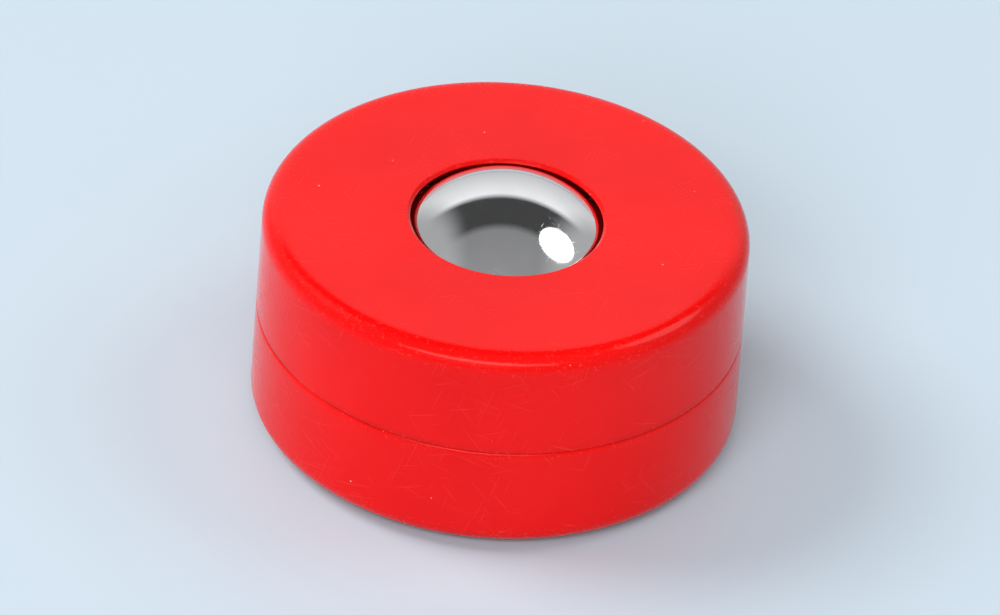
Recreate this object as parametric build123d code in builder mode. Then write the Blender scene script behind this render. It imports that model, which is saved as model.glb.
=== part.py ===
"""Tabletop curling stone: a moulded puck that rolls on one captive steel ball.

Two snapped half shells hold a rolling ball, which stands proud of a round hole in the top and just
proud of another underneath. Inside, the shells ride on a caged ring of small support balls, which
run between the rolling ball and a steel race ring. A spacer ring holds the race ring up.

Units are millimetres and degrees. The origin is on the surface that the stone rolls on, straight
below its centre, and +Z is up along the stone's axis. Profiles are drawn as (radius, height).
"""

import math
import os

from build123d import *

# Driving dimensions
stone_diameter = 21.0
body_height = 9.8
ground_clearance = 0.3
rolling_ball_diameter = 11.5
support_ball_diameter = 2.0
support_ball_count = 14
support_ball_latitude = 15.0  # above the rolling ball's equator, seen from its centre
rolling_ball_pole_tilt = 40.0  # of the sphere's own axis, from upright
wall = 1.2

# Running and assembly clearances
socket_clearance = 0.15  # shells to rolling ball
ball_contact_gap = 0.02  # support ball to rolling ball
race_contact_gap = 0.04  # support ball to race groove
pocket_clearance = 0.08  # support ball to cage pocket
lap_clearance = 0.05  # tongue to rebate, all round
drop_in_clearance = 0.1  # loose rings to the walls round them

# Edges
outer_edge_radius = 0.8
inner_corner_radius = 0.4
seam_chamfer = 0.15
hole_chamfer = 0.15
ring_chamfer = 0.2

# Lap joint between the shells
tongue_thickness = 0.5
tongue_height = 1.6
lap_end_gap = 0.1
snap_height = 1.0  # above the seam
snap_bead_radius = 0.15
snap_groove_radius = 0.2

# Inner pieces
cup_thickness = 1.0
cup_rise = 0.15  # the cup's straight rim, above the ball's equator
cage_inner_radius = 5.95
cage_outer_radius = 7.25
cage_bottom_gap = 0.1
cage_height = 2.0
spacer_inner_radius = 7.65
spacer_height = 4.5
race_mouth_radius = 6.85

# Derived sizes
body_radius = stone_diameter / 2
ball_radius = rolling_ball_diameter / 2
ball_centre_z = ball_radius
body_bottom_z = ground_clearance
body_top_z = body_bottom_z + body_height
seam_z = body_bottom_z + body_height / 2
ceiling_z = body_top_z - wall
floor_z = body_bottom_z + wall
cavity_radius = body_radius - wall
socket_radius = ball_radius + socket_clearance
cup_outer_radius = socket_radius + cup_thickness
cup_top_z = ball_centre_z + cup_rise
tongue_outer_radius = cavity_radius + tongue_thickness
rebate_radius = tongue_outer_radius + lap_clearance
ring_outer_radius = cavity_radius - drop_in_clearance
support_ball_radius = support_ball_diameter / 2
support_ball_reach = ball_radius + support_ball_radius + ball_contact_gap
support_circle_radius = support_ball_reach * math.cos(math.radians(support_ball_latitude))
support_circle_z = ball_centre_z + support_ball_reach * math.sin(math.radians(support_ball_latitude))
groove_radius = support_ball_radius + race_contact_gap
race_bore_radius = support_circle_radius + groove_radius
cage_bottom_z = cup_top_z + cage_bottom_gap
spacer_top_z = floor_z + spacer_height


def on_sphere(radius, z):
    """Point of a profile at height z on a sphere about the rolling ball's centre."""
    return (math.sqrt(radius**2 - (z - ball_centre_z) ** 2), z)


def sphere_arc(radius, z_start, z_end):
    """Profile arc between two heights on a sphere about the rolling ball's centre."""
    z_middle = (z_start + z_end) / 2
    return ThreePointArc(on_sphere(radius, z_start), on_sphere(radius, z_middle), on_sphere(radius, z_end))


def save(builder, name):
    """Labels a finished piece and writes it as its own STEP file."""
    builder.part.label = name
    export_step(builder.part, f"parts/{name}.step")


os.makedirs("parts", exist_ok=True)

# Upper shell: a moulded cap. Its top has a chamfered hole for the ball, with a spherical lip, and
# its skirt has a rebate that laps over the lower shell's tongue.
lip_top_z = body_top_z - hole_chamfer
lip_top_radius = on_sphere(socket_radius, lip_top_z)[0]
rebate_top_z = seam_z + tongue_height + lap_end_gap
with BuildPart() as upper_shell:
    with BuildSketch(Plane.XZ):
        with BuildLine():
            lip = sphere_arc(socket_radius, lip_top_z, ceiling_z)
            Polyline(
                lip @ 1,
                (cavity_radius, ceiling_z),
                (cavity_radius, rebate_top_z),
                (rebate_radius, rebate_top_z),
                (rebate_radius, seam_z),
                (body_radius - seam_chamfer, seam_z),
                (body_radius, seam_z + seam_chamfer),
                (body_radius, body_top_z),
                (lip_top_radius + hole_chamfer, body_top_z),
                lip @ 0,
            )
        make_face()
    revolve(axis=Axis.Z)
    with BuildSketch(Plane.XZ):
        with Locations((rebate_radius, seam_z + snap_height)):
            Circle(snap_groove_radius)
    revolve(axis=Axis.Z, mode=Mode.SUBTRACT)
    top_face = upper_shell.faces().filter_by(GeomType.PLANE).sort_by(Axis.Z)[-1]
    fillet(top_face.outer_wire().edges(), radius=outer_edge_radius)
    ceiling = upper_shell.faces().filter_by(GeomType.PLANE).sort_by(Axis.Z)[-2]
    fillet(ceiling.outer_wire().edges(), radius=inner_corner_radius)
save(upper_shell, "upper_shell")

# Lower shell: a moulded tray. Its cup holds the rolling ball from below, its tongue snaps into the
# upper shell, and the trough between them takes the spacer ring.
lip_bottom_z = body_bottom_z + hole_chamfer
lip_bottom_radius = on_sphere(socket_radius, lip_bottom_z)[0]
tongue_top_z = seam_z + tongue_height
with BuildPart() as lower_shell:
    with BuildSketch(Plane.XZ):
        with BuildLine():
            socket = sphere_arc(socket_radius, lip_bottom_z, ball_centre_z)
            cup_back = sphere_arc(cup_outer_radius, ball_centre_z, floor_z)
            Polyline(
                socket @ 1,
                (socket_radius, cup_top_z),
                (cup_outer_radius, cup_top_z),
                cup_back @ 0,
            )
            Polyline(
                cup_back @ 1,
                (cavity_radius, floor_z),
                (cavity_radius, tongue_top_z),
                (tongue_outer_radius, tongue_top_z),
                (tongue_outer_radius, seam_z),
                (body_radius - seam_chamfer, seam_z),
                (body_radius, seam_z - seam_chamfer),
                (body_radius, body_bottom_z),
                (lip_bottom_radius + hole_chamfer, body_bottom_z),
                socket @ 0,
            )
        make_face()
    revolve(axis=Axis.Z)
    with BuildSketch(Plane.XZ):
        with Locations((tongue_outer_radius, seam_z + snap_height)):
            Circle(snap_bead_radius)
    revolve(axis=Axis.Z)
    bottom_face = lower_shell.faces().filter_by(GeomType.PLANE).sort_by(Axis.Z)[0]
    fillet(bottom_face.outer_wire().edges(), radius=outer_edge_radius)
save(lower_shell, "lower_shell")

# Rolling ball: a stock bearing ball that carries the whole stone. The sphere is turned so that
# neither pole, where its meridians crowd together, is the point that it rests on.
with BuildPart() as rolling_ball:
    with Locations((0, 0, ball_centre_z)):
        Sphere(ball_radius, rotation=(rolling_ball_pole_tilt, 0, 0))
save(rolling_ball, "rolling_ball")

# Spacer ring: a moulded ring that drops into the lower shell's trough and holds the race ring up.
with BuildPart() as spacer_ring:
    with BuildSketch(Plane.XY.offset(floor_z)):
        Circle(ring_outer_radius)
        Circle(spacer_inner_radius, mode=Mode.SUBTRACT)
    extrude(amount=spacer_height)
    chamfer(spacer_ring.edges().filter_by(GeomType.CIRCLE), length=ring_chamfer)
save(spacer_ring, "spacer_ring")

# Race ring: a turned and hardened steel ring that stands on the spacer ring, under the upper shell's
# ceiling. The groove in its upper inner edge bears on the support balls.
groove_end_x = race_mouth_radius - support_circle_radius
groove_end_z = support_circle_z + math.sqrt(groove_radius**2 - groove_end_x**2)
groove_middle = Vector(groove_radius, 0).rotate(Axis.Z, support_ball_latitude)
with BuildPart() as race_ring:
    with BuildSketch(Plane.XZ):
        with BuildLine():
            groove = ThreePointArc(
                (race_bore_radius, support_circle_z),
                (support_circle_radius + groove_middle.X, support_circle_z + groove_middle.Y),
                (race_mouth_radius, groove_end_z),
            )
            Polyline(
                groove @ 1,
                (race_mouth_radius, ceiling_z),
                (ring_outer_radius, ceiling_z),
                (ring_outer_radius, spacer_top_z),
                (race_bore_radius, spacer_top_z),
                groove @ 0,
            )
        make_face()
    revolve(axis=Axis.Z)
    race_top = race_ring.faces().filter_by(GeomType.PLANE).sort_by(Axis.Z)[-1]
    chamfer(race_top.outer_wire().edges(), length=inner_corner_radius)
save(race_ring, "race_ring")

# Ball cage: a crown ring with an open pocket for each support ball and a finger between each two.
with BuildPart() as ball_cage:
    with BuildSketch(Plane.XY.offset(cage_bottom_z)):
        Circle(cage_outer_radius)
        Circle(cage_inner_radius, mode=Mode.SUBTRACT)
    extrude(amount=cage_height)
    with Locations((0, 0, support_circle_z)):
        with PolarLocations(support_circle_radius, support_ball_count):
            Sphere(support_ball_radius + pocket_clearance, mode=Mode.SUBTRACT)
save(ball_cage, "ball_cage")

# Support balls: one to each pocket, numbered anticlockwise from +X.
for number in range(support_ball_count):
    bearing = math.radians(number * 360 / support_ball_count)
    centre_x = support_circle_radius * math.cos(bearing)
    centre_y = support_circle_radius * math.sin(bearing)
    with BuildPart() as support_ball:
        with Locations((centre_x, centre_y, support_circle_z)):
            Sphere(support_ball_radius)
    save(support_ball, f"support_ball_{number + 1:02d}")
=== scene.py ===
import math

import bpy
import numpy as np
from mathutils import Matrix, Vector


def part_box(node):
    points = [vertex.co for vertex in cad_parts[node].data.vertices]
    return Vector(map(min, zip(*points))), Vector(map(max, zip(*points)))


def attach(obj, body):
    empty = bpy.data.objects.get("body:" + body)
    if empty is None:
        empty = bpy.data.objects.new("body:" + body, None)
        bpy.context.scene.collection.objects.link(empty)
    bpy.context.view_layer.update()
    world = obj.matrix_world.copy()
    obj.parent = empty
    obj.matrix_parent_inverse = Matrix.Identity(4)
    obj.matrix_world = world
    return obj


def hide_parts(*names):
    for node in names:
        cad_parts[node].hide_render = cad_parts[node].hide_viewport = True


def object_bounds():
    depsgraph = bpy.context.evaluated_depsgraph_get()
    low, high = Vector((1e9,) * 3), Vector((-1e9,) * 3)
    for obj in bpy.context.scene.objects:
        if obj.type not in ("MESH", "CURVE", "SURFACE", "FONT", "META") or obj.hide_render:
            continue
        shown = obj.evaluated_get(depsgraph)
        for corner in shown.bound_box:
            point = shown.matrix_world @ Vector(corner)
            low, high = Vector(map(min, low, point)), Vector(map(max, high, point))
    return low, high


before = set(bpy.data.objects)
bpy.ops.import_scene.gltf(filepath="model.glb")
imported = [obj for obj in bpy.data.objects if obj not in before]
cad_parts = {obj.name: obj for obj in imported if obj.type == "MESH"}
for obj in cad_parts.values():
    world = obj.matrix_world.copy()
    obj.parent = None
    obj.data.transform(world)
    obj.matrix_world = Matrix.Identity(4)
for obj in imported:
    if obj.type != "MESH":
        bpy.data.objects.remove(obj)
cad_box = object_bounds()

# The table and the light. A pale table top in a pale room with a dark panel high on the far side, two
# big soft lights, up on the left and in front, and two small lamps that the ball and the rim mirror.
# The camera looks down from well back, as someone at the table does.
mm = 0.001
stone_width = cad_box[1].x - cad_box[0].x
stone_height = cad_box[1].z - cad_box[0].z


def pointed_at(thing, place, target):
    """Moves a camera or a lamp to place, and turns it to look at target."""
    thing.location = place
    direction = (np.array(target) - np.array(place)).tolist()
    thing.rotation_euler = Vector(direction).to_track_quat("-Z", "Y").to_euler()


def on_dome(compass, elevation, distance):
    """The point at that distance from the stone, with compass 0 on +X and 90 on +Y, in degrees."""
    turn, rise = math.radians(compass), math.radians(elevation)
    level = distance * math.cos(rise)
    return (level * math.cos(turn), level * math.sin(turn), distance * math.sin(rise))


camera_data = bpy.data.cameras.new("camera")
camera = bpy.data.objects.new("camera", camera_data)
bpy.context.scene.collection.objects.link(camera)
camera_distance = 0.95
camera_elevation = 36.0
camera_lean = 4.5
view_in_stones = 2.05
aim_share = 0.46
view_width = view_in_stones * stone_width
camera_data.sensor_width = 36.0
camera_data.lens = camera_data.sensor_width * camera_distance / view_width
camera_data.clip_end = 10.0
aim = (0.0, 0.0, aim_share * stone_height)
seat = on_dome(-90.0, camera_elevation, camera_distance)
pointed_at(camera, (seat[0], seat[1], seat[2] + aim[2]), aim)
camera.rotation_euler.rotate_axis("Z", math.radians(camera_lean))
bpy.context.scene.camera = camera


def soft_lamp(name, compass, elevation, distance, width, height, watts, colour):
    """An oval lamp on the dome round the stone, facing it."""
    data = bpy.data.lights.new(name, "AREA")
    data.shape = "ELLIPSE"
    data.size = width
    data.size_y = height
    data.energy = watts
    data.color = colour
    lamp = bpy.data.objects.new(name, data)
    bpy.context.scene.collection.objects.link(lamp)
    pointed_at(lamp, on_dome(compass, elevation, distance), (0.0, 0.0, stone_height / 2))
    return lamp


# The two big lights only light things. The small lamps also show as highlights on ball and rim.
key_light = soft_lamp("key_light", 164.0, 46.0, 0.9, 0.5, 0.5, 5.3, (1.0, 0.965, 0.925))
front_fill = soft_lamp("front_fill", -105.0, 30.0, 0.9, 0.6, 0.6, 4.4, (1.0, 0.97, 0.95))
key_light.visible_glossy = False
front_fill.visible_glossy = False
soft_lamp("ball_lamp", 14.0, 50.0, 0.5, 0.25, 0.25, 0.45, (1.0, 0.97, 0.93))
soft_lamp("rim_lamp", -98.0, 44.0, 0.7, 0.8, 0.16, 1.7, (1.0, 0.97, 0.95))

# The room's brightness, as (share of the way from below the far panel to the back, brightness): pale
# below the panel, dark on it, and dim over the top and down the back. It is paler beside the panel.
panel_elevation = math.radians(61.0)
panel_up = (0.0, -math.sin(panel_elevation), math.cos(panel_elevation))
room_levels = ((0.0, 0.55), (0.32, 1.12), (0.375, 0.07), (0.62, 0.07), (0.68, 0.30), (1.0, 0.38))
panel_half_width = (0.45, 0.75)
beside_panel = 0.5
world = bpy.data.worlds.new("room")
world.use_nodes = True
bpy.context.scene.world = world
room = world.node_tree
place = room.nodes.new("ShaderNodeTexCoord").outputs["Generated"]
up_panel = room.nodes.new("ShaderNodeVectorMath")
up_panel.operation = "DOT_PRODUCT"
up_panel.inputs[1].default_value = panel_up
room.links.new(place, up_panel.inputs[0])
share = room.nodes.new("ShaderNodeMapRange")
share.inputs["From Min"].default_value = -1.0
room.links.new(up_panel.outputs["Value"], share.inputs["Value"])
levels = room.nodes.new("ShaderNodeValToRGB")
room.links.new(share.outputs["Result"], levels.inputs["Fac"])
stops = levels.color_ramp.elements
while len(stops) < len(room_levels):
    stops.new(0.5)
for stop, (rise, level) in zip(stops, room_levels):
    stop.position = rise
    stop.color = (level, level, level, 1.0)
sides = room.nodes.new("ShaderNodeSeparateXYZ")
room.links.new(place, sides.inputs["Vector"])
out_sideways = room.nodes.new("ShaderNodeMath")
out_sideways.operation = "ABSOLUTE"
room.links.new(sides.outputs["X"], out_sideways.inputs[0])
beside = room.nodes.new("ShaderNodeMapRange")
beside.interpolation_type = "SMOOTHSTEP"
beside.inputs["From Min"].default_value, beside.inputs["From Max"].default_value = panel_half_width
room.links.new(out_sideways.outputs[0], beside.inputs["Value"])
room_light = room.nodes.new("ShaderNodeMix")
room_light.data_type = "RGBA"
room_light.inputs["B"].default_value = (beside_panel, beside_panel, beside_panel, 1.0)
room.links.new(beside.outputs["Result"], room_light.inputs["Factor"])
room.links.new(levels.outputs["Color"], room_light.inputs["A"])
room.links.new(room_light.outputs["Result"], room.nodes["Background"].inputs["Color"])

bpy.context.scene.view_settings.view_transform = "Standard"

bpy.ops.mesh.primitive_circle_add(vertices=96, radius=3.0, fill_type="NGON")
table_top = bpy.context.object
table_top.name = "table_top"
table_paint = bpy.data.materials.new("table_paint")
table_paint.use_nodes = True
table_shader = table_paint.node_tree.nodes["Principled BSDF"]
table_shader.inputs["Base Color"].default_value = (0.47, 0.58, 0.67, 1.0)
table_shader.inputs["Roughness"].default_value = 0.5
table_top.data.materials.append(table_paint)


# The upper shell. An injection-moulded cap in glossy red ABS: flat on top with a rounded rim, and a
# round hole whose spherical lip keeps the ball in. Its skirt laps over the lower shell's tongue.
# Both shells are polished in the mould, and pick up hairlines, dust and rubbed edges in play.
ball_low, ball_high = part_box("rolling_ball")
cap_low, cap_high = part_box("upper_shell")
ball_radius = (ball_high.z - ball_low.z) / 2
ball_height = (ball_high.z + ball_low.z) / 2
body_radius = cap_high.x
top = cap_high.z
seam = cap_low.z
wall = 1.2 * mm
socket_clearance = 0.15 * mm
socket_radius = ball_radius + socket_clearance
rim_rounding = 0.8 * mm
hole_chamfer = 0.15 * mm
skirt_rounding = 0.06 * mm
shoulder_rounding = 0.24 * mm
small_rounding = 0.05 * mm
tongue_thickness = 0.5 * mm
tongue_height = 1.6 * mm
lap_clearance = 0.05 * mm
lap_end_gap = 0.1 * mm
snap_height = 1.0 * mm
snap_groove = 0.2 * mm


def rounded_outline(corners, steps=9):
    """A closed outline of points (radius, height), with a mark on each point, from its corners
    (radius, height, rounding). A rounded corner becomes the arc that touches both its edges: its
    centre is on the corner's bisector, rounding / sin(half angle) from the corner. A mark is +1 on
    an arc that bulges out of the wall, -1 on an arc that is hollow, and 0 elsewhere."""
    points, marks = [], []
    spots = np.array([corner[:2] for corner in corners])
    for index, (_, _, rounding) in enumerate(corners):
        spot = spots[index]
        if not rounding:
            points.append(spot[None])
            marks.append(np.zeros(1))
            continue
        back = spots[index - 1] - spot
        ahead = spots[(index + 1) % len(spots)] - spot
        back /= np.hypot(*back)
        ahead /= np.hypot(*ahead)
        half = math.acos(np.clip(back @ ahead, -1.0, 1.0)) / 2
        middle = back + ahead
        centre = spot + middle / np.hypot(*middle) * rounding / math.sin(half)
        touch = rounding / math.tan(half)
        arms = np.array([spot + back * touch, spot + ahead * touch]) - centre
        start, stop = np.arctan2(arms[:, 1], arms[:, 0])
        sweep = (stop - start + math.pi) % (2 * math.pi) - math.pi
        angle = start + sweep * np.linspace(0.0, 1.0, steps)
        points.append(centre + rounding * np.column_stack([np.cos(angle), np.sin(angle)]))
        marks.append(np.full(steps, math.copysign(1.0, sweep)))
    return np.concatenate(points), np.concatenate(marks)


def divided(points, marks, spacing):
    """The same closed outline with extra unmarked points, evenly spaced along its long stretches."""
    ahead = np.roll(points, -1, axis=0)
    counts = np.maximum(1, np.ceil(np.hypot(*(ahead - points).T) / spacing)).astype(int)
    owner = np.repeat(np.arange(len(points)), counts)
    step = np.arange(len(owner)) - np.repeat(np.cumsum(counts) - counts, counts)
    share = (step / counts[owner])[:, None]
    return points[owner] * (1 - share) + ahead[owner] * share, np.where(step == 0, marks[owner], 0.0)


def closeness(points, marked, reach):
    """1 on a marked point, falling off as a bell curve of width reach with distance from the nearest."""
    if not marked.any():
        return np.zeros(len(points))
    gaps = np.hypot(*(points[:, None] - points[None, marked]).transpose(2, 0, 1)).min(1)
    return np.exp(-((gaps / reach) ** 2))


def linked_piece(name, mesh, material, body, node):
    """Puts a finished mesh in the scene as a piece that stands for one CAD node and rides on its body."""
    mesh.shade_smooth()
    mesh.materials.append(material)
    piece = bpy.data.objects.new(name, mesh)
    bpy.context.scene.collection.objects.link(piece)
    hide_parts(node)
    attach(piece, body)
    return piece


def turned_mesh(name, corners, spacing=0.25 * mm, wear_reach=0.12 * mm, turns=288):
    """A surface of revolution: the outline's point s at angle a is (radius cos a, radius sin a, height).
    The outline runs anticlockwise round the wall's section, so the faces point outwards. Three values
    are kept on each point: edge_wear near bulging arcs, crevice near hollow ones and the seam, and
    flank, which is 1 where the wall is nearer to upright than to level."""
    points, marks = divided(*rounded_outline(corners), spacing)
    angle = np.linspace(0.0, 2 * math.pi, turns, endpoint=False)
    radius, height = points.T
    spots = np.stack([
        np.outer(np.cos(angle), radius),
        np.outer(np.sin(angle), radius),
        np.broadcast_to(height, (turns, len(points))),
    ], axis=-1).reshape(-1, 3)
    turn, along = np.meshgrid(np.arange(turns), np.arange(len(points)), indexing="ij")
    next_turn, next_along = (turn + 1) % turns, (along + 1) % len(points)
    faces = np.stack([
        turn * len(points) + along,
        next_turn * len(points) + along,
        next_turn * len(points) + next_along,
        turn * len(points) + next_along,
    ], axis=-1).reshape(-1, 4)
    mesh = bpy.data.meshes.new(name)
    mesh.from_pydata(spots.tolist(), [], faces.tolist())
    near_seam = (np.abs(height - seam) < skirt_rounding) & (radius > body_radius - shoulder_rounding)
    run, rise = np.abs(np.roll(points, -1, axis=0) - np.roll(points, 1, axis=0)).T
    for label, value in (
        ("edge_wear", closeness(points, (marks > 0) & ~near_seam, wear_reach)),
        ("crevice", closeness(points, (marks < 0) | near_seam, wear_reach)),
        ("flank", rise > run),
    ):
        layer = mesh.attributes.new(label, "FLOAT", "POINT")
        layer.data.foreach_set("value", np.tile(value, turns).astype(np.float32))
    return mesh


def sphere_arc(radius, low, high, steps):
    """Unrounded corners on a sphere about the ball's centre, at even angles between two heights."""
    start = math.asin((low - ball_height) / radius)
    stop = math.asin((high - ball_height) / radius)
    angle = np.linspace(start, stop, steps)
    return [(radius * math.cos(a), ball_height + radius * math.sin(a), 0) for a in angle]


def half_round(radius, height, size, rising):
    """Unrounded corners of a half circle that bulges outwards from a vertical wall, for a ridge or a
    groove. They are passed going up where rising is 1, and going down where it is -1."""
    angle = rising * np.linspace(-math.pi / 2, math.pi / 2, 9)
    return [(radius + size * math.cos(a), height + size * math.sin(a), 0) for a in angle]


# Node-tree shorthand for the materials.
def added(tree, kind, **values):
    """Adds a node and sets its properties or its input sockets, by name."""
    node = tree.nodes.new(kind)
    for key, value in values.items():
        if hasattr(node, key):
            setattr(node, key, value)
        else:
            node.inputs[key.replace("_", " ")].default_value = value
    return node


def computed(tree, operation, *operands):
    """A Math node's output. Each operand is a number or a socket."""
    node = tree.nodes.new("ShaderNodeMath")
    node.operation = operation
    for socket, operand in zip(node.inputs, operands):
        if isinstance(operand, bpy.types.NodeSocket):
            tree.links.new(operand, socket)
        else:
            socket.default_value = operand
    return node.outputs[0]


def blended(tree, share, first, second):
    """A colour that goes from first to second as share goes from 0 to 1."""
    node = tree.nodes.new("ShaderNodeMix")
    node.data_type = "RGBA"
    for label, value in (("Factor", share), ("A", first), ("B", second)):
        socket = node.inputs[label]
        if isinstance(value, bpy.types.NodeSocket):
            tree.links.new(value, socket)
        else:
            socket.default_value = value
    return node.outputs["Result"]


def noise(tree, place, size, detail=2.0, turn=0.0):
    """A noise value whose blotches have that size in millimetres: a number, or (x, y, z), with the
    whole pattern turned about Z."""
    mapping = added(tree, "ShaderNodeMapping", vector_type="TEXTURE")
    mapping.inputs["Scale"].default_value = size if isinstance(size, tuple) else (size, size, size)
    mapping.inputs["Rotation"].default_value = (0.0, 0.0, math.radians(turn))
    tree.links.new(place, mapping.inputs["Vector"])
    texture = added(tree, "ShaderNodeTexNoise", Scale=1.0, Detail=detail)
    tree.links.new(mapping.outputs["Vector"], texture.inputs["Vector"])
    return texture.outputs["Fac"]


def between(tree, value, low, high):
    """A smooth step: 0 where value is under low, and 1 where it is over high."""
    node = added(tree, "ShaderNodeMapRange", interpolation_type="SMOOTHSTEP")
    tree.links.new(value, node.inputs["Value"])
    node.inputs["From Min"].default_value = low
    node.inputs["From Max"].default_value = high
    return node.outputs["Result"]


def new_group(name, inputs, outputs):
    """A shader node group with named float or vector inputs and float outputs."""
    group = bpy.data.node_groups.new(name, "ShaderNodeTree")
    for label, kind in inputs:
        group.interface.new_socket(label, in_out="INPUT", socket_type=kind)
    for label in outputs:
        group.interface.new_socket(label, in_out="OUTPUT", socket_type="NodeSocketFloat")
    return group, group.nodes.new("NodeGroupInput"), group.nodes.new("NodeGroupOutput")


def handling_marks():
    """Hairlines, dust and smears on anything handled. Each family of hairlines is noise drawn out over
    20 to 1 along its own direction and cut off high, so that only thin slivers are left. Dust is the
    middles of a few Voronoi cells. A smear is slow noise."""
    group, given, made = new_group("handling_marks", [
        ("Place", "NodeSocketVector"), ("Hairline Cut", "NodeSocketFloat"), ("Dust Size", "NodeSocketFloat"),
    ], ["Hairlines", "Dust", "Smear"])
    place = given.outputs["Place"]
    cut = given.outputs["Hairline Cut"]
    total = 0.0
    for turn in (17.0, 71.0, 128.0, 160.0):
        streak = noise(group, place, (2.8, 0.085, 0.13), detail=1.0, turn=turn)
        over = computed(group, "SUBTRACT", streak, cut)
        sliver = computed(group, "MULTIPLY", over, 18.0)
        total = computed(group, "ADD", total, computed(group, "MAXIMUM", sliver, 0.0))
    patches = between(group, noise(group, place, 4.5, detail=2.0), 0.38, 0.62)
    hairlines = computed(group, "MULTIPLY", computed(group, "MINIMUM", total, 1.0), patches)
    group.links.new(hairlines, made.inputs["Hairlines"])
    cells = added(group, "ShaderNodeTexVoronoi", Scale=1.6)
    group.links.new(place, cells.inputs["Vector"])
    pick = added(group, "ShaderNodeSeparateColor")
    group.links.new(cells.outputs["Color"], pick.inputs["Color"])
    size = computed(group, "MULTIPLY", given.outputs["Dust Size"], pick.outputs["Green"])
    speck = computed(group, "LESS_THAN", cells.outputs["Distance"], size)
    rare = computed(group, "GREATER_THAN", pick.outputs["Red"], 0.72)
    group.links.new(computed(group, "MULTIPLY", speck, rare), made.inputs["Dust"])
    smear = between(group, noise(group, place, 2.8, detail=4.0), 0.35, 0.75)
    group.links.new(smear, made.inputs["Smear"])
    return group


def round_axis():
    """Where a point is on a turned piece, in millimetres: how far round it, and how far from its axis.
    Round is the angle about Z times the body's radius, so it is true to scale on the outer wall."""
    group, given, made = new_group("round_axis", [("Place", "NodeSocketVector")], ["Round", "Radius"])
    parts = added(group, "ShaderNodeSeparateXYZ")
    group.links.new(given.outputs["Place"], parts.inputs["Vector"])
    angle = computed(group, "ARCTAN2", parts.outputs["Y"], parts.outputs["X"])
    group.links.new(computed(group, "MULTIPLY", angle, body_radius / mm), made.inputs["Round"])
    across = computed(group, "MULTIPLY", parts.outputs["X"], parts.outputs["X"])
    square = computed(group, "MULTIPLY_ADD", parts.outputs["Y"], parts.outputs["Y"], across)
    group.links.new(computed(group, "SQRT", square), made.inputs["Radius"])
    return group


marks_group = handling_marks()
axis_group = round_axis()


def material_base(name):
    """A new material, its tree, its Principled shader, and the object's own coordinates in millimetres."""
    material = bpy.data.materials.new(name)
    material.use_nodes = True
    tree = material.node_tree
    coordinates = added(tree, "ShaderNodeTexCoord")
    in_mm = added(tree, "ShaderNodeVectorMath", operation="SCALE")
    in_mm.inputs["Scale"].default_value = 1 / mm
    tree.links.new(coordinates.outputs["Object"], in_mm.inputs[0])
    return material, tree, tree.nodes["Principled BSDF"], in_mm.outputs["Vector"]


def placed_round_axis(tree, place):
    """The round_axis group, placed in a material: how far round, how far from the axis, and how high."""
    node = added(tree, "ShaderNodeGroup")
    node.node_tree = axis_group
    tree.links.new(place, node.inputs["Place"])
    parts = added(tree, "ShaderNodeSeparateXYZ")
    tree.links.new(place, parts.inputs["Vector"])
    return node.outputs["Round"], node.outputs["Radius"], parts.outputs["Z"]


def placed_marks(tree, place, hairline_cut, dust_size):
    """The handling_marks group, placed in a material."""
    node = added(tree, "ShaderNodeGroup")
    node.node_tree = marks_group
    node.inputs["Hairline Cut"].default_value = hairline_cut
    node.inputs["Dust Size"].default_value = dust_size
    tree.links.new(place, node.inputs["Place"])
    return node.outputs


def kept_value(tree, label):
    """The value of that name kept on the mesh's points."""
    return added(tree, "ShaderNodeAttribute", attribute_name=label).outputs["Fac"]


def relief(tree, shader, height, depth):
    """Feeds a height from 0 to 1 to the shader as a bump of that depth in metres."""
    bump = added(tree, "ShaderNodeBump", Strength=1.0, Distance=depth)
    tree.links.new(height, bump.inputs["Height"])
    tree.links.new(bump.outputs["Normal"], shader.inputs["Normal"])


def unrolled(tree, place):
    """The place itself on level walls, and on upright ones (round, height, radius), as if the wall
    were unrolled flat, so that hairlines lie in the surface on both."""
    round_it, radius, height = placed_round_axis(tree, place)
    flat = added(tree, "ShaderNodeCombineXYZ")
    for socket, value in zip(flat.inputs, (round_it, height, radius)):
        tree.links.new(value, socket)
    choice = added(tree, "ShaderNodeMix", data_type="VECTOR")
    tree.links.new(computed(tree, "GREATER_THAN", kept_value(tree, "flank"), 0.5), choice.inputs["Factor"])
    vectors = [socket for socket in choice.inputs if socket.type == "VECTOR" and socket.enabled]
    for socket, value in zip(vectors[-2:], (place, flat.outputs["Vector"])):
        tree.links.new(value, socket)
    return [socket for socket in choice.outputs if socket.enabled][0]


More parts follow.
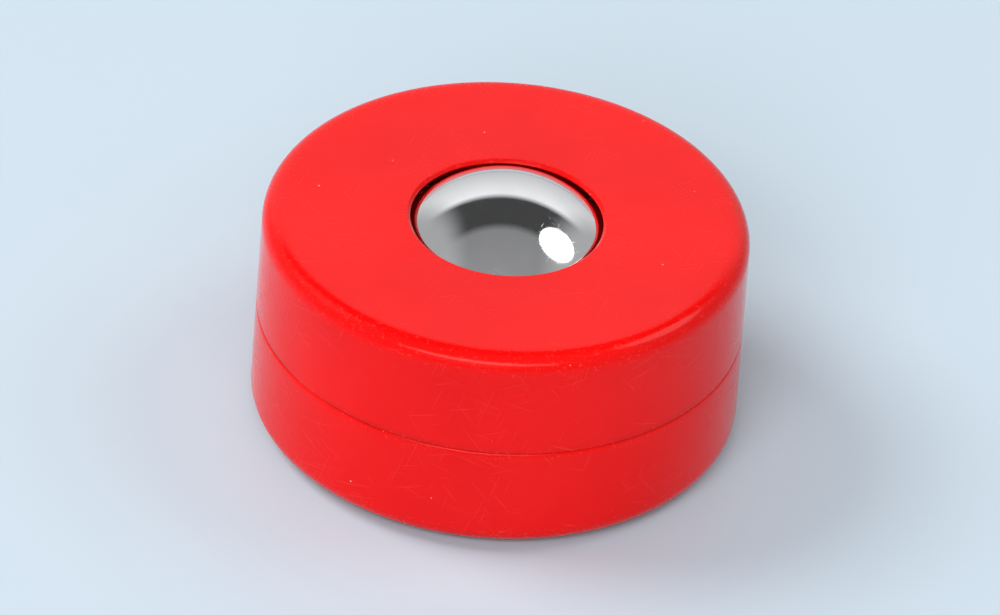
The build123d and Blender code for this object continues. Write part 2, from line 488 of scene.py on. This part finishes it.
def red_plastic():
    """Glossy red ABS. The colour has a slow swirl from the moulding, paler nicks along the edges, and grime
    mixed with painted shade that darkens the seam and the hollow corners. The gloss is broken by smears and
    hairlines, over a faint orange-peel ripple."""
    material, tree, shader, place = material_base("red_plastic")
    shader.inputs["IOR"].default_value = 1.5
    shader.inputs["Specular IOR Level"].default_value = 0.18
    marks = placed_marks(tree, unrolled(tree, place), 0.69, 0.07)
    swirl = between(tree, noise(tree, place, 8.0, detail=3.0), 0.3, 0.7)
    colour = blended(tree, swirl, (0.67, 0.0014, 0.0018, 1.0), (0.74, 0.0028, 0.0024, 1.0))
    nicks = between(tree, noise(tree, place, 0.16, detail=3.0), 0.60, 0.68)
    rub = computed(tree, "MULTIPLY", kept_value(tree, "edge_wear"), nicks)
    colour = blended(tree, computed(tree, "MULTIPLY", rub, 0.20), colour, (0.90, 0.07, 0.05, 1.0))
    scuff = computed(tree, "MULTIPLY", marks["Hairlines"], 0.10)
    colour = blended(tree, scuff, colour, (0.90, 0.10, 0.08, 1.0))
    # Painted shade: the seam and the hollow corners are darkened in blotches, partly as grime and partly as
    # the shade that falls there.
    patches = between(tree, noise(tree, place, 2.2), 0.3, 0.7)
    grime_and_shade = computed(tree, "MULTIPLY", kept_value(tree, "crevice"), patches)
    colour = blended(tree, computed(tree, "MULTIPLY", grime_and_shade, 0.30), colour, (0.20, 0.006, 0.006, 1.0))
    colour = blended(tree, computed(tree, "MULTIPLY", marks["Dust"], 0.5), colour, (0.75, 0.62, 0.58, 1.0))
    tree.links.new(colour, shader.inputs["Base Color"])
    rough = computed(tree, "MULTIPLY_ADD", marks["Smear"], 0.08, 0.13)
    rough = computed(tree, "MULTIPLY_ADD", marks["Hairlines"], 0.25, rough)
    rough = computed(tree, "MULTIPLY_ADD", rub, 0.2, rough)
    rough = computed(tree, "MULTIPLY_ADD", marks["Dust"], 0.4, rough)
    tree.links.new(rough, shader.inputs["Roughness"])
    peel = computed(tree, "MULTIPLY", noise(tree, place, 0.65, detail=2.0), 0.55)
    height = computed(tree, "MULTIPLY_ADD", marks["Hairlines"], -0.25, peel)
    height = computed(tree, "MULTIPLY_ADD", rub, -0.6, height)
    height = computed(tree, "MULTIPLY_ADD", marks["Dust"], 0.8, height)
    relief(tree, shader, height, 0.004 * mm)
    return material


red = red_plastic()
lip_top = top - hole_chamfer
ceiling = top - wall
cavity_radius = body_radius - wall
rebate_radius = cavity_radius + tongue_thickness + lap_clearance
rebate_top = seam + tongue_height + lap_end_gap
lip = sphere_arc(socket_radius, lip_top, ceiling, steps=12)
lip_radius = lip[0][0]
upper_corners = [
    (body_radius, seam, skirt_rounding),
    (body_radius, top, rim_rounding),
    (lip_radius + hole_chamfer, top, small_rounding),
    (lip_radius, lip_top, small_rounding),
    *lip[1:],
    (cavity_radius, ceiling, 8 * small_rounding),
    (cavity_radius, rebate_top, small_rounding),
    (rebate_radius, rebate_top, small_rounding),
    *half_round(rebate_radius, seam + snap_height, snap_groove, -1),
    (rebate_radius, seam, small_rounding),
]
upper_mesh = turned_mesh("upper_shell_moulding", upper_corners)
linked_piece("upper_shell_moulding", upper_mesh, red, "housing", "upper_shell")


# The lower shell. An injection-moulded tray in the same red ABS. Its cup holds the ball from below.
# Its tongue snaps up inside the upper shell's skirt, where a bead clicks into the groove, so the seam
# shows half way up the side.
tray_low, tray_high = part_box("lower_shell")
bottom = tray_low.z
tongue_top = tray_high.z
tongue_radius = cavity_radius + tongue_thickness
snap_bead = 0.15 * mm
cup_thickness = 1.0 * mm
cup_radius = socket_radius + cup_thickness
cup_rise = 0.15 * mm
cup_top = ball_height + cup_rise
tray_floor = bottom + wall
lower_lip = bottom + hole_chamfer
socket = sphere_arc(socket_radius, lower_lip, ball_height, steps=28)
cup_back = sphere_arc(cup_radius, tray_floor, ball_height, steps=24)
lower_corners = [
    (socket[0][0], lower_lip, small_rounding),
    (socket[0][0] + hole_chamfer, bottom, small_rounding),
    (body_radius, bottom, rim_rounding),
    (body_radius, seam, shoulder_rounding),
    (tongue_radius, seam, small_rounding),
    *half_round(tongue_radius, seam + snap_height, snap_bead, 1),
    (tongue_radius, tongue_top, small_rounding),
    (cavity_radius, tongue_top, small_rounding),
    (cavity_radius, tray_floor, 4 * small_rounding),
    *cup_back,
    (cup_radius, cup_top, small_rounding),
    (socket_radius, cup_top, small_rounding),
    *socket[:0:-1],
]
lower_mesh = turned_mesh("lower_shell_moulding", lower_corners)
linked_piece("lower_shell_moulding", lower_mesh, red, "housing", "lower_shell")


# The rolling ball. A hardened chrome-steel bearing ball, ground and lapped to a mirror. Handling
# leaves faint smears, and rolling on the table leaves a few very fine hairlines.
def ball_mesh(name, centre, radius, turns):
    """A sphere: the point at longitude a and latitude b is the centre plus radius times
    (cos b cos a, cos b sin a, sin b). The two poles are single points."""
    angle = np.linspace(0.0, 2 * math.pi, turns, endpoint=False)
    latitude = np.linspace(-math.pi / 2, math.pi / 2, turns // 2 + 1)[1:-1]
    rings = len(latitude)
    spots = np.stack([
        np.outer(np.cos(latitude), np.cos(angle)),
        np.outer(np.cos(latitude), np.sin(angle)),
        np.broadcast_to(np.sin(latitude)[:, None], (rings, turns)),
    ], axis=-1).reshape(-1, 3)
    spots = np.concatenate([spots, [[0.0, 0.0, -1.0], [0.0, 0.0, 1.0]]]) * radius + np.array(centre)
    ring, step = np.meshgrid(np.arange(rings - 1), np.arange(turns), indexing="ij")
    ahead = (step + 1) % turns
    sides = np.stack([
        ring * turns + step, ring * turns + ahead, (ring + 1) * turns + ahead, (ring + 1) * turns + step,
    ], axis=-1).reshape(-1, 4)
    step = np.arange(turns)
    ahead = (step + 1) % turns
    last = (rings - 1) * turns
    under = np.stack([ahead, step, np.full(turns, rings * turns)], axis=-1)
    over = np.stack([last + step, last + ahead, np.full(turns, rings * turns + 1)], axis=-1)
    mesh = bpy.data.meshes.new(name)
    mesh.from_pydata(spots.tolist(), [], sides.tolist() + under.tolist() + over.tolist())
    return mesh


def mirror_steel():
    """Polished bearing steel: a near mirror, with smears that dull it a little and rare hairlines."""
    material, tree, shader, place = material_base("mirror_steel")
    shader.inputs["Metallic"].default_value = 1.0
    marks = placed_marks(tree, place, 0.70, 0.05)
    tint = blended(tree, marks["Smear"], (0.76, 0.77, 0.79, 1.0), (0.70, 0.70, 0.71, 1.0))
    tint = blended(tree, computed(tree, "MULTIPLY", marks["Dust"], 0.6), tint, (0.45, 0.43, 0.41, 1.0))
    tree.links.new(tint, shader.inputs["Base Color"])
    rough = computed(tree, "MULTIPLY_ADD", marks["Smear"], 0.06, 0.045)
    rough = computed(tree, "MULTIPLY_ADD", marks["Hairlines"], 0.15, rough)
    rough = computed(tree, "MULTIPLY_ADD", marks["Dust"], 0.4, rough)
    tree.links.new(rough, shader.inputs["Roughness"])
    relief(tree, shader, computed(tree, "MULTIPLY", marks["Hairlines"], -0.5), 0.001 * mm)
    return material


steel = mirror_steel()
big_ball = ball_mesh("polished_ball", (0.0, 0.0, ball_height), ball_radius, turns=192)
linked_piece("polished_ball", big_ball, steel, "roller", "rolling_ball")


# The support balls. Small bearing balls of the same steel, one in each pocket of the cage. The
# shells' weight comes down on them through the race ring.
support_nodes = sorted(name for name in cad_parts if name.startswith("support_ball_"))
for node in support_nodes:
    low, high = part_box(node)
    name = node.replace("support_ball", "small_ball")
    small_ball = ball_mesh(name, (low + high) / 2, (high.z - low.z) / 2, turns=64)
    linked_piece(name, small_ball, steel, node, node)


# The ball cage. A crown of black nylon, moulded in one piece, with a finger between each two balls.
# It is hidden inside the shells, so the CAD solid stays, with a matt grained finish.
def black_nylon():
    """Matt black nylon with a fine moulded grain and polished patches where the balls rub."""
    material, tree, shader, place = material_base("black_nylon")
    rubbed = between(tree, noise(tree, place, 0.9, detail=3.0), 0.45, 0.6)
    colour = blended(tree, rubbed, (0.018, 0.018, 0.02, 1.0), (0.035, 0.034, 0.034, 1.0))
    tree.links.new(colour, shader.inputs["Base Color"])
    tree.links.new(computed(tree, "MULTIPLY_ADD", rubbed, -0.2, 0.62), shader.inputs["Roughness"])
    relief(tree, shader, noise(tree, place, 0.11, detail=3.0), 0.01 * mm)
    return material


def set_finish(node, material):
    """Gives a shown CAD node its finish."""
    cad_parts[node].data.materials.clear()
    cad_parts[node].data.materials.append(material)


set_finish("ball_cage", black_nylon())


# The race ring. A steel ring, turned, hardened and ground, whose groove runs on the support balls.
def ground_steel():
    """Turned steel. The tool's fine rings are noise in radius plus height, so they run round the axis
    on every face. A thin film of oil dulls it in faint patches."""
    material, tree, shader, place = material_base("ground_steel")
    shader.inputs["Metallic"].default_value = 1.0
    _, radius, height = placed_round_axis(tree, place)
    rings = added(tree, "ShaderNodeTexNoise", noise_dimensions="1D", Scale=9.0, Detail=3.0)
    tree.links.new(computed(tree, "ADD", radius, height), rings.inputs["W"])
    film = between(tree, noise(tree, place, 3.0, detail=4.0), 0.35, 0.75)
    colour = blended(tree, film, (0.57, 0.57, 0.58, 1.0), (0.51, 0.505, 0.49, 1.0))
    tree.links.new(colour, shader.inputs["Base Color"])
    rough = computed(tree, "MULTIPLY_ADD", film, 0.06, 0.20)
    rough = computed(tree, "MULTIPLY_ADD", rings.outputs["Fac"], 0.14, rough)
    tree.links.new(rough, shader.inputs["Roughness"])
    relief(tree, shader, rings.outputs["Fac"], 0.006 * mm)
    return material


race_low, race_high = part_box("race_ring")
ring_radius = race_high.x
race_mouth = 6.85 * mm
small_low, small_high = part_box("support_ball_01")
small_radius = (small_high.z - small_low.z) / 2
groove_centre = ((small_low.x + small_high.x) / 2, (small_low.z + small_high.z) / 2)
race_gap = 0.04 * mm
groove_radius = small_radius + race_gap
groove_end = math.acos((race_mouth - groove_centre[0]) / groove_radius)
race_corners = [
    (groove_centre[0] + groove_radius, race_low.z, 2 * small_rounding),
    (ring_radius, race_low.z, 2 * small_rounding),
    (ring_radius, race_high.z, 8 * small_rounding),
    (race_mouth, race_high.z, small_rounding),
    *[(groove_centre[0] + groove_radius * math.cos(a), groove_centre[1] + groove_radius * math.sin(a), 0)
      for a in np.linspace(groove_end, 0.0, 20)],
]
race_mesh = turned_mesh("race_ring_turning", race_corners)
linked_piece("race_ring_turning", race_mesh, ground_steel(), "housing", "race_ring")


# The spacer ring. A plain ring of white acetal that stands in the tray and holds the race ring up.
def white_acetal():
    """Natural acetal: waxy white, with a soft sheen, faint flow lines and fine grain."""
    material, tree, shader, place = material_base("white_acetal")
    flow = noise(tree, place, (2.5, 2.5, 0.4), detail=3.0)
    colour = blended(tree, between(tree, flow, 0.35, 0.65), (0.80, 0.79, 0.75, 1.0), (0.87, 0.86, 0.83, 1.0))
    tree.links.new(colour, shader.inputs["Base Color"])
    tree.links.new(computed(tree, "MULTIPLY_ADD", flow, 0.15, 0.35), shader.inputs["Roughness"])
    relief(tree, shader, noise(tree, place, 0.14, detail=2.0), 0.006 * mm)
    return material


spacer_low, spacer_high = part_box("spacer_ring")
spacer_bore = 7.65 * mm
spacer_rounding = 0.2 * mm
spacer_corners = [
    (spacer_bore, spacer_low.z, spacer_rounding),
    (ring_radius, spacer_low.z, spacer_rounding),
    (ring_radius, spacer_high.z, spacer_rounding),
    (spacer_bore, spacer_high.z, spacer_rounding),
]
spacer_mesh = turned_mesh("spacer_ring_moulding", spacer_corners)
linked_piece("spacer_ring_moulding", spacer_mesh, white_acetal(), "housing", "spacer_ring")
